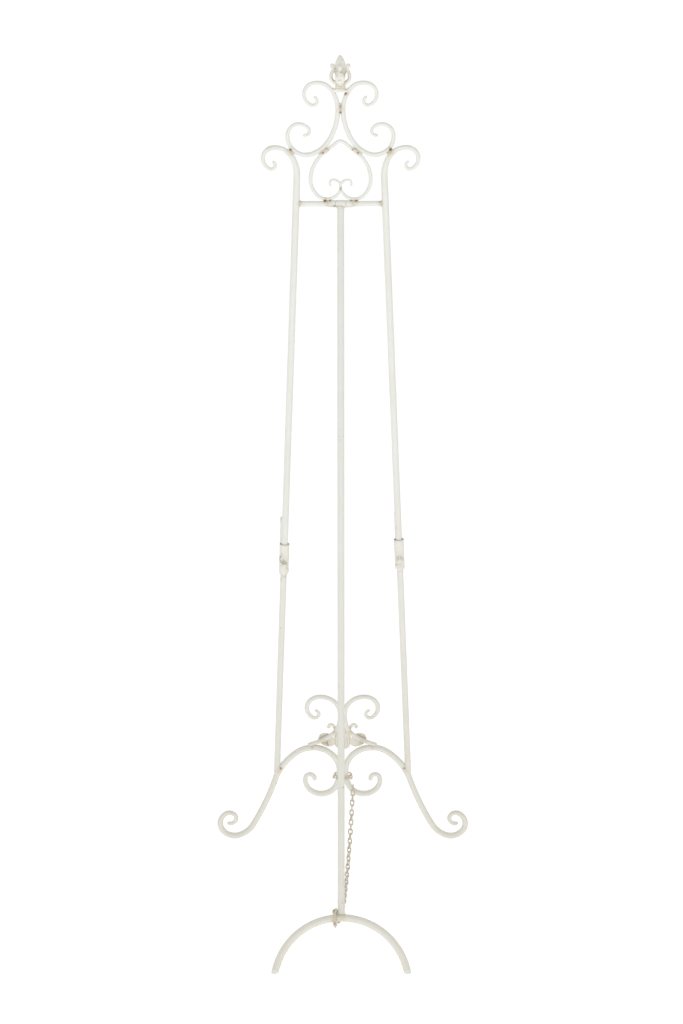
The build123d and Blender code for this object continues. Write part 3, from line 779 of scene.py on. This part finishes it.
def build_finial():
    """Ringed neck, stem, ribbed bud and four curled petals."""
    upright = IN_FRAME @ Matrix.Translation((0, FINIAL_BASE * MM, 0)) @ Matrix.Rotation(-math.pi / 2, 4, "X")

    def body(work):
        neck = [(8.6, 0)]
        for ring in range(3):
            low = 3.4 * ring
            neck += [(8.5, low + 0.4), (9.3, low + 0.8), (9.6, low + 1.7), (9.3, low + 2.6), (8.5, low + 3.0)]
        stem = [(8.2, 10.6), (8.6, 12.5), (8.0, 15), (7.4, 19), (8.0, 23), (9.6, 26.5), (11.2, 29.5),
                (11.2, 33)]
        bud = [(9.4, 37), (8.8, 39), (9.1, 42), (8.7, 46), (7.2, 50.5), (5.2, 54.6), (2.8, 58.3), (0.8, 59.8)]
        def ribs(angle, height):
            if height < 20:
                return 1.0
            fade = min(1.0, (height - 20) / 12, (60.5 - height) / 8)
            return 1 - fade * (0.08 * abs(math.sin(2 * angle)) ** 1.5 + 0.05 * abs(math.sin(4 * angle)) ** 3)
        turned(work, neck + stem + bud, sides=64, shape=ribs)

    line = bent_line((6.5, 11.5), 0, (10, 92), (22, 30), (6.5, -75), step=1.0)
    rings = planar_rings(line)

    def petals(work):
        def section(s):
            swell = math.exp(-((s - 0.4) / 0.24) ** 2)
            return ellipse_section(7.0 + 10.5 * swell, 6.2 - 1.6 * max(0.0, s - 0.5), 24)
        for turn in range(4):
            spin = Matrix.Rotation(math.radians(90 * turn), 4, "Z") @ Matrix.Rotation(math.pi / 2, 4, "X")
            swept(work, line, section, lambda number: spin @ rings[number])
            tip = spin @ Matrix.Translation((line[-1][0], line[-1][1], 0))
            turned(work, ball_profile(4.5, 13), tip, sides=20)

    finial = mesh_piece("finial_stem_and_bud", body, upright, AGED)
    finish_piece(finial, "frame", "aged_paint", "finial")
    finish_piece(mesh_piece("finial_petals", petals, upright, AGED), "frame", "aged_paint")


def build_plaque():
    """The fleur-de-lis casting: fluted body, cupped side leaves, three front leaves, two volutes."""
    middle = IN_FRAME @ Matrix.Translation((0, PLAQUE_CENTRE * MM, (SCROLL_R + 2.6) * MM))

    def body(work):
        def front(s, t):
            groove = abs(math.sin(3.5 * math.pi * t)) ** 0.5
            round_end = math.sqrt(max(0, 1 - (2 * s - 1) ** 8))
            swell = math.sin(math.pi * (0.1 + 0.85 * s)) ** 0.5
            half = 1.1 + (0.8 + 2.4 * groove * swell) * math.sqrt(1 - t**6)
            return t * (13 + 5 * math.sin(math.pi * s)), 14 - 38 * s * (1 - 0.13 * t * t), half * round_end
        relief(work, front, Matrix(), 28, 84)

    def side_leaves(work):
        for side in (-1, 1):
            def front(s, t):
                half = 15.5 * math.sqrt(max(0, 1 - (2 * s - 1) ** 2)) * (0.8 + 0.25 * s)
                ribs = 0.45 * abs(math.cos(2 * math.pi * t)) ** 0.6 * math.sin(math.pi * s)
                return half * t, 38 * s, 1.4 * math.sqrt(1 - t**4) * (0.8 + ribs)
            lean_out = Matrix.Rotation(math.radians(side * -48), 4, "Z")
            place = Matrix.Translation((side * 18, -13, 0)) @ lean_out
            relief(work, front, place, 26, 40, cup=3.2)

    def front_leaf(work):
        lens(work, Matrix.Translation((0, -12, 1.6)), 46, 20, 5.6, rib=0.5)
        for side in (-1, 1):
            lean_out = Matrix.Rotation(math.radians(side * -70), 4, "Z")
            place = Matrix.Translation((side * 12, -10, 1.2)) @ lean_out
            lens(work, place, 34, 12, 4.8, point=1.1, rib=0.4)

    def volutes(work):
        line = bent_line((8, 8), 76, (80, -20), (5.0, -150), step=1.2)
        for side in (-1, 1):
            mirrored = on_side(line, side)
            rings = planar_rings(mirrored)
            swept(work, mirrored, lambda s: ellipse_section(6.4 - 1.2 * s, 6.6), lambda number: rings[number])
            turned(work, ball_profile(3.9, 11), Matrix.Translation((*mirrored[-1], 0)), sides=18)

    pieces = {"body": body, "side_leaves": side_leaves, "front_leaf": front_leaf, "volutes": volutes}
    for kind, build in pieces.items():
        piece = mesh_piece(f"fleur_plaque_{kind}", build, middle, AGED, sharp=60)
        finish_piece(piece, "frame", "aged_paint", *(["fleur_plaque"] if kind == "body" else []))


def build_hook(name):
    """Sleeve, screw boss and rolled hook arm, and the wing screw."""
    clamp = clamp_matrix(name)
    rearward = clamp @ Matrix.Translation((0, 0, -SCREW_BELOW * MM)) @ Matrix.Rotation(-math.pi / 2, 4, "X")
    angle = {"left": 0.0, "right": 50.0}[name]

    def sleeve(work):
        outer, inner, half = SLEEVE_R, 7.6, 32.0
        profile = [(inner, -half + 0.8), (inner + 0.5, -half)]
        profile += rounded_rim(outer - 0.5, -half, 0.9, top=False)
        profile += [(outer, -half + 5), (outer, half - 6)] + rounded_rim(outer + 0.1, half, 0.9)
        profile += [(inner + 0.6, half), (inner, half - 0.8)]
        def dented(turn, height):
            return 1 + 0.012 * noise.noise(Vector((3 * math.cos(turn), 3 * math.sin(turn), height / 9)))
        turned(work, profile, closed=True, sides=56, shape=dented)

    def boss(work):
        turned(work, [(6.0, 9.2), (6.0, 12.6)] + rounded_rim(6.0, 14.4, 1.2) + [(3.08, 14.4), (3.08, 9.2)],
               closed=True, sides=36)

    arm_line = bent_line((9.2, -ARM_BELOW), 0, (None, 50), (10, 90), (None, 52), (6, -250), step=1.5)
    arm_rings = planar_rings(arm_line)
    upright = clamp @ Matrix((Vector((0, 0, -1)), Vector((-1, 0, 0)), Vector((0, 1, 0)))).to_4x4()

    def arm(work):
        swept(work, arm_line, lambda s: rounded_rectangle(14, 4 - 0.9 * max(0.0, s - 0.75) * 4, 1.2),
              lambda number: arm_rings[number])

    def screw(work):
        threads = []
        for turn in range(16):
            low = 6.5 + 0.6 * turn
            threads += [(2.62, low), (3.0, low + 0.3)]
        hub_low, hub_high = 15.6, 20.6
        turned(work, threads + [(2.62, hub_low), (4.0, hub_low), (4.5, hub_low + 0.5), (4.5, hub_high - 1.2)]
               + rounded_rim(4.5, hub_high, 1.2) + [(0.4, hub_high)], sides=32)
        for side in (-1, 1):
            spin = Matrix.Rotation(math.radians(90 + angle), 4, "Z")
            wing = spin @ Matrix.Translation((side * 2.4, 0, 17.6))
            tilt = wing @ Matrix.Rotation(math.radians(side * -14), 4, "Y")
            stand = tilt @ Matrix((Vector((0, side, 0)), Vector((0, 0, 1)), Vector((side, 0, 0)))).to_4x4()
            lens(work, stand, 11.6, 9.2, 3.0, point=1.5, rows=16, columns=12)

    pieces = {"sleeve_tube": (sleeve, clamp, "hook_sleeve"), "boss_turned": (boss, rearward, "screw_boss"),
              "arm_strap": (arm, upright, "hook_arm")}
    for kind, (build, matrix, node) in pieces.items():
        piece = mesh_piece(f"{name}_{kind}", build, matrix, AGED)
        finish_piece(piece, f"{name}_hook", "aged_paint", f"{name}_{node}")
    wing_screw = mesh_piece(f"{name}_wing_screw_turned", screw, rearward, AGED)
    finish_piece(wing_screw, f"{name}_screw", "aged_paint", f"{name}_wing_screw")


# ---------------------------------------------------------------- chain

def catenary(start, end, length, count):
    """The middle point of each of count equal links on a free-hanging chain, in the row frame."""
    run = Vector((end.x - start.x, end.y - start.y, 0))
    span, drop = run.length, end.z - start.z
    wanted = math.sqrt(length**2 - drop**2)
    low, high = span / 50, span * 50
    for _ in range(80):
        scale = math.sqrt(low * high)
        if 2 * scale * math.sinh(span / (2 * scale)) > wanted:
            low = scale
        else:
            high = scale
    middle = span / 2 - scale * math.atanh(drop / length)
    start_arc = scale * math.sinh(-middle / scale)

    def point_at(arc):
        distance = middle + scale * math.asinh((start_arc + arc) / scale)
        height = scale * (math.cosh((distance - middle) / scale) - math.cosh(middle / scale))
        return start + run * (distance / span) + Vector((0, 0, height))

    step = length / count
    return [(point_at(step * number) + point_at(step * (number + 1))) / 2 for number in range(count)]


def oval_points(matrix, half_width, count):
    """Link middles round a closed oval; half_width is half the way between its bend centres, in mm."""
    bend_r = (count * LINK_PITCH - 4 * half_width) / (2 * math.pi)
    line = bent_line((-half_width, -bend_r), 0, (None, max(2 * half_width, 1e-6)), (bend_r, 180),
                     (None, max(2 * half_width, 1e-6)), (bend_r, 180), step=0.2)
    lengths = np.concatenate([[0], np.cumsum([math.dist(a, b) for a, b in zip(line, line[1:])])])
    wanted = (np.arange(count) + 0.5) * lengths[-1] / count
    xs = np.interp(wanted, lengths, [x for x, y in line])
    ys = np.interp(wanted, lengths, [y for x, y in line])
    return [in_mm(matrix, (x, y)) for x, y in zip(xs, ys)]


def link_chain(name, points, cyclic, play, seed):
    edges = [(number, number + 1) for number in range(len(points) - 1)]
    return run_tree(name, LINK_CHAIN, points, edges, {
        "Wire": LINK_WIRE * MM, "Width": LINK_WIDTH * MM, "Length": (LINK_PITCH + 2 * LINK_WIRE + 0.1) * MM,
        "Cyclic": cyclic, "Play": play, "Seed": seed, "Material": CHAIN})


def build_chain():
    arch_top = math.sqrt(ARCH_R**2 - LEG_WRAP_X**2) - math.sqrt(ARCH_R**2 - ARCH_HALF_SPREAD**2)
    start = in_mm(IN_FRAME, (-22, WRAP_HEIGHT - 13.5, -14))
    end = in_mm(IN_LEG, (LEG_WRAP_X, arch_top - 4, 19))
    points = catenary(start, end, CHAIN_LINKS * LINK_PITCH * MM, CHAIN_LINKS)
    free = wear_and_height(link_chain("safety_chain_links", points, False, 0.3, 4))
    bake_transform(free)
    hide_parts("safety_chain")

    flat = IN_FRAME @ axes((0, WRAP_HEIGHT * MM, 0), (1, 0, 0), (0, 0, -1))
    round_feet = oval_points(flat, WRAP_HALF_WIDTH, FRAME_WRAP_LINKS)
    frame_wrap = link_chain("chain_frame_wrap_links", round_feet, True, 0.12, 7)
    finish_piece(frame_wrap, "frame", "rusty_chain", "chain_frame_wrap")
    round_arch = IN_LEG @ axes((LEG_WRAP_X * MM, arch_top * MM, 0), (0, 1, 0), (0, 0, 1))
    leg_wrap = link_chain("chain_leg_wrap_links", oval_points(round_arch, 0, LEG_WRAP_LINKS), True, 0.12, 9)
    finish_piece(leg_wrap, "rear_leg", "rusty_chain", "chain_leg_wrap")


# ---------------------------------------------------------------- welds

def weld_line(matrix, centre, along, length, bow=0.0, forward=0.0):
    """A short, slightly bowed line on a plane, in millimetres."""
    along = Vector(along).normalized()
    across = Vector((-along.y, along.x))
    points = []
    for s in np.linspace(-0.5, 0.5, 7):
        flat = Vector(centre) + along * (length * s) + across * (bow * (1 - 4 * s * s))
        points.append(in_mm(matrix, (flat.x, flat.y, forward)))
    return points


def ring_line(matrix, centre, radius, normal):
    """A ring about a point, square to a direction, in millimetres."""
    normal = Vector(normal).normalized()
    side = normal.orthogonal().normalized()
    other = normal.cross(side)
    return [in_mm(matrix, Vector(centre) + radius * (side * math.cos(a) + other * math.sin(a)))
            for a in np.radians(np.linspace(0, 360, 28))]


def build_welds():
    def beads(name, body, lines, drop=2.0, seed=3):
        points, edges = [], []
        for line in lines:
            edges += [(len(points) + number, len(points) + number + 1) for number in range(len(line) - 1)]
            points += line
        piece = run_tree(name, WELD_BEAD, points, edges, {
            "Drop": drop * MM, "Spacing": drop * 0.8 * MM, "Seed": seed, "Material": WELD})
        finish_piece(piece, body, "aged_paint")

    lines = []
    for forward in (-2.6, 2.6):
        lines.append(weld_line(IN_FRAME, (0, 1537), (0, 1), 15, 0, forward))
        lines.append(weld_line(IN_FRAME, (0, 1393), (0, 1), 7, 0, forward * 0.8))
        lines.append(weld_line(IN_FRAME, (0, 300), (0, 1), 12, 0, forward))
        lines.append(weld_line(IN_FRAME, (0, 172), (0, 1), 12, 0, forward))
        for side in SIDES.values():
            lines.append(weld_line(IN_FRAME, (side * 31.5, 1461), (-side, 0.62), 16, 0, forward))
            lines.append(weld_line(IN_FRAME, (side * 88.2, 1460), (side, 0.95), 10, 0, forward))
            lines.append(weld_line(IN_FRAME, (side * 24.5, 1370.2), (1, 0), 13, 0, forward))
            lines.append(weld_line(IN_FRAME, (side * 64, 227.5), (side, -0.05), 12, 0, forward))
            lines.append(weld_line(IN_FRAME, (side * 12, FINIAL_BASE - 2), (side * 0.25, 1), 7, 0, forward))
    for side in SIDES.values():
        across = ROD_HEAD[0] + (ROD_HEAD[1] - HINGE_UP_FRAME) / math.tan(math.radians(180 - ROD_HEADING))
        lines.append(ring_line(IN_FRAME, (side * (across - 6.6), HINGE_UP_FRAME, 0), CROSSBAR_R, (1, 0, 0)))
        for forward in (-3.4, 3.4):
            lines.append(weld_line(IN_FRAME, (side * 128.2, 176), (side * -0.5, 1), 13, 0, forward))
    beads("frame_weld_beads", "frame", lines, 1.9)

    top = ring_line(IN_LEG, (0, HINGE_UP_LEG - BARREL_R - 0.4, 0), ROD_R - 0.4, (0, 1, 0))
    arch_top = ARCH_R - math.sqrt(ARCH_R**2 - ARCH_HALF_SPREAD**2)
    foot = ring_line(IN_LEG, (0, arch_top + ROD_R - 0.6, 0), ROD_R, (0, 1, 0))
    beads("leg_weld_beads", "rear_leg", [top, foot], 1.8, 5)
    for name in SIDES:
        clamp = clamp_matrix(name)
        arm_root, under = ([clamp @ Vector((x * MM, -SLEEVE_R * MM, (-ARM_BELOW + edge) * MM))
                            for x in np.linspace(-6, 6, 7)] for edge in (2.1, -2.1))
        boss_root = []
        for a in np.linspace(0, 2 * math.pi, 26):
            x = 6.1 * math.cos(a)
            rear = math.sqrt(9.8**2 - x**2)
            boss_root.append(clamp @ Vector((x * MM, rear * MM, (-SCREW_BELOW + 6.1 * math.sin(a)) * MM)))
        beads(f"{name}_hook_weld_beads", f"{name}_hook", [arm_root, under, boss_root], 1.2, 8)


# ---------------------------------------------------------------- floor, light and camera

def plain(name, color, rough, glow=0.0):
    material = bpy.data.materials.new(name)
    material.use_nodes = True
    shader = material.node_tree.nodes["Principled BSDF"]
    shader.inputs["Base Color"].default_value = color
    shader.inputs["Roughness"].default_value = rough
    shader.inputs["Emission Color"].default_value = (1.0, 1.0, 1.0, 1.0)
    shader.inputs["Emission Strength"].default_value = glow
    return material


def build_stage():
    """A pale floor that curves up into a backdrop behind the display side."""
    half, back, bend, height = 24.0, -4.5, 2.5, 16.0
    profile = [(9.0, 0.0), (back + bend, 0.0)]
    profile += [(back + bend - bend * math.sin(a), bend - bend * math.cos(a))
                for a in np.linspace(0.1, math.pi / 2, 14)]
    profile.append((back, height))
    work = bmesh.new()
    rows = [[work.verts.new((x, y, z)) for x in (-half, half)] for y, z in profile]
    for lower, upper in zip(rows, rows[1:]):
        work.faces.new((lower[0], lower[1], upper[1], upper[0]))
    bmesh.ops.recalc_face_normals(work, faces=work.faces)
    mesh = bpy.data.meshes.new("studio_floor")
    work.to_mesh(mesh)
    work.free()
    for polygon in mesh.polygons:
        polygon.use_smooth = True
    mesh.materials.append(plain("studio_white", srgb(250, 250, 250), 0.9, 0.36))
    floor = bpy.data.objects.new("studio_floor", mesh)
    bpy.context.scene.collection.objects.link(floor)


def add_light(name, place, target, size, power):
    lamp = bpy.data.lights.new(name, "AREA")
    lamp.energy, lamp.size = power, size
    holder = bpy.data.objects.new(name, lamp)
    holder.location = place
    holder.rotation_euler = (Vector(target) - Vector(place)).to_track_quat("-Z", "Y").to_euler()
    bpy.context.scene.collection.objects.link(holder)


def build_light():
    world = bpy.data.worlds.new("studio_world")
    world.use_nodes = True
    world.node_tree.nodes["Background"].inputs["Color"].default_value = (1.0, 1.0, 1.0, 1.0)
    world.node_tree.nodes["Background"].inputs["Strength"].default_value = 0.5
    bpy.context.scene.world = world
    add_light("soft_key", (0.9, 3.6, 2.6), (0, 0, 0.8), 1.4, 34)
    add_light("soft_fill", (-1.3, 3.4, 1.4), (0, 0, 0.8), 1.6, 14)
    bpy.context.scene.view_settings.view_transform = "Standard"


def build_camera():
    """Behind the easel, a little above the crossbar, looking down at its middle."""
    yaw, pitch, roll = math.radians(-0.32), math.radians(12.93), math.radians(-0.12)
    forward = Vector((-math.sin(yaw) * math.cos(pitch), -math.cos(yaw) * math.cos(pitch), -math.sin(pitch)))
    right = forward.cross(Vector((0, 0, 1))).normalized()
    up = right.cross(forward)
    turned_right = right * math.cos(roll) + up * math.sin(roll)
    turned_up = up * math.cos(roll) - right * math.sin(roll)
    lens_camera = bpy.data.cameras.new("camera")
    lens_camera.sensor_width = 36.0
    lens_camera.lens = 63.28
    camera = bpy.data.objects.new("camera", lens_camera)
    camera.matrix_world = Matrix((turned_right, turned_up, -forward)).transposed().to_4x4()
    camera.location = (-0.0187, 3.258, 1.525)
    bpy.context.scene.collection.objects.link(camera)
    bpy.context.scene.camera = camera


def paint_frame_nodes():
    """The frame's own small pieces keep their shape and get the paint."""
    finishes = {"finial_seat": AGED, "left_foot_cap": CREAM, "right_foot_cap": CREAM}
    for node, material in finishes.items():
        data = frame["nodes"][node].data
        data.materials.clear()
        data.materials.append(material)


build_bars()
build_hinge()
build_finial()
build_plaque()
build_hook("left")
build_hook("right")
build_chain()
build_welds()
paint_frame_nodes()
build_stage()
build_light()
build_camera()
